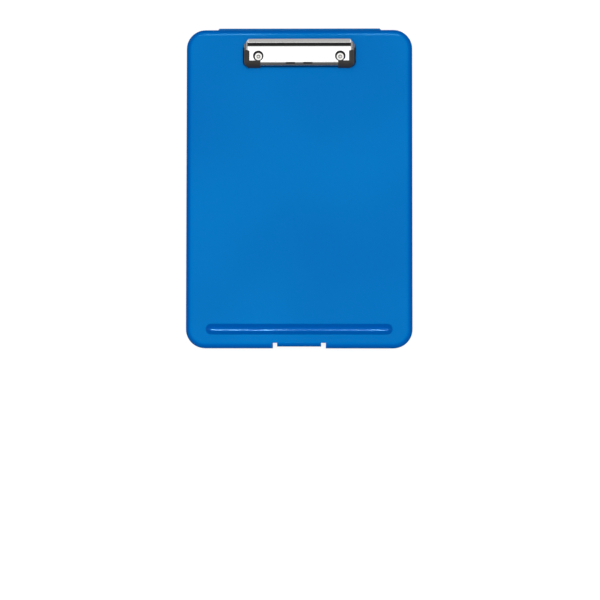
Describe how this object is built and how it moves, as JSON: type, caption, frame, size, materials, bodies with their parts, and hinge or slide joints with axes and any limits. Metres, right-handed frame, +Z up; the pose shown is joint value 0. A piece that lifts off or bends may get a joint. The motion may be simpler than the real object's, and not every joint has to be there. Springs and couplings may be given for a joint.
{
  "type": "storage clipboard box",
  "caption": "Shallow hinged box for papers and pens whose lid is a writing board, with a spring clip, a pen groove and a snap latch.",
  "frame": {"origin": "on the resting face, under the middle of the whole shut box", "axes": "+X across the box, +Y from the latch edge towards the hinge edge, +Z up"},
  "size_m": [0.25, 0.356, 0.032],
  "materials": {
    "blue_plastic": "satin-gloss moulded plastic",
    "plated_steel": "bright nickel plating",
    "plain_steel": "drawn and stamped steel",
    "spring_steel": "drawn spring wire",
    "grip_rubber": "soft dark vinyl"
  },
  "bodies": {
    "tray": {"tray_shell": "blue_plastic"},
    "lid": {"lid_shell": "blue_plastic", "hinge_pin_left": "plain_steel", "hinge_pin_right": "plain_steel", "clip_base_plate": "plated_steel", "clip_pivot_rod": "plated_steel", "clip_spring": "spring_steel", "rivet_left": "plated_steel", "rivet_right": "plated_steel", "rivet_washer_left": "plain_steel", "rivet_washer_right": "plain_steel"},
    "lever": {"clip_lever": "plated_steel", "jaw_grip_left": "grip_rubber", "jaw_grip_right": "grip_rubber"}
  },
  "joints": [
    {"name": "lid_hinge", "type": "hinge", "parent": "tray", "child": "lid", "pos_m": [0, 0.1733, 0.0109], "axis": [-1, 0, 0], "range_deg": [0, 120]},
    {"name": "clip_pivot", "type": "hinge", "parent": "lid", "child": "lever", "pos_m": [0, 0.1511, 0.0276], "axis": [-1, 0, 0], "range_deg": [0, 25], "stiffness_Nm_per_rad": 0.3, "springref_deg": -28.65, "deforming": ["clip_spring"]}
  ]
}
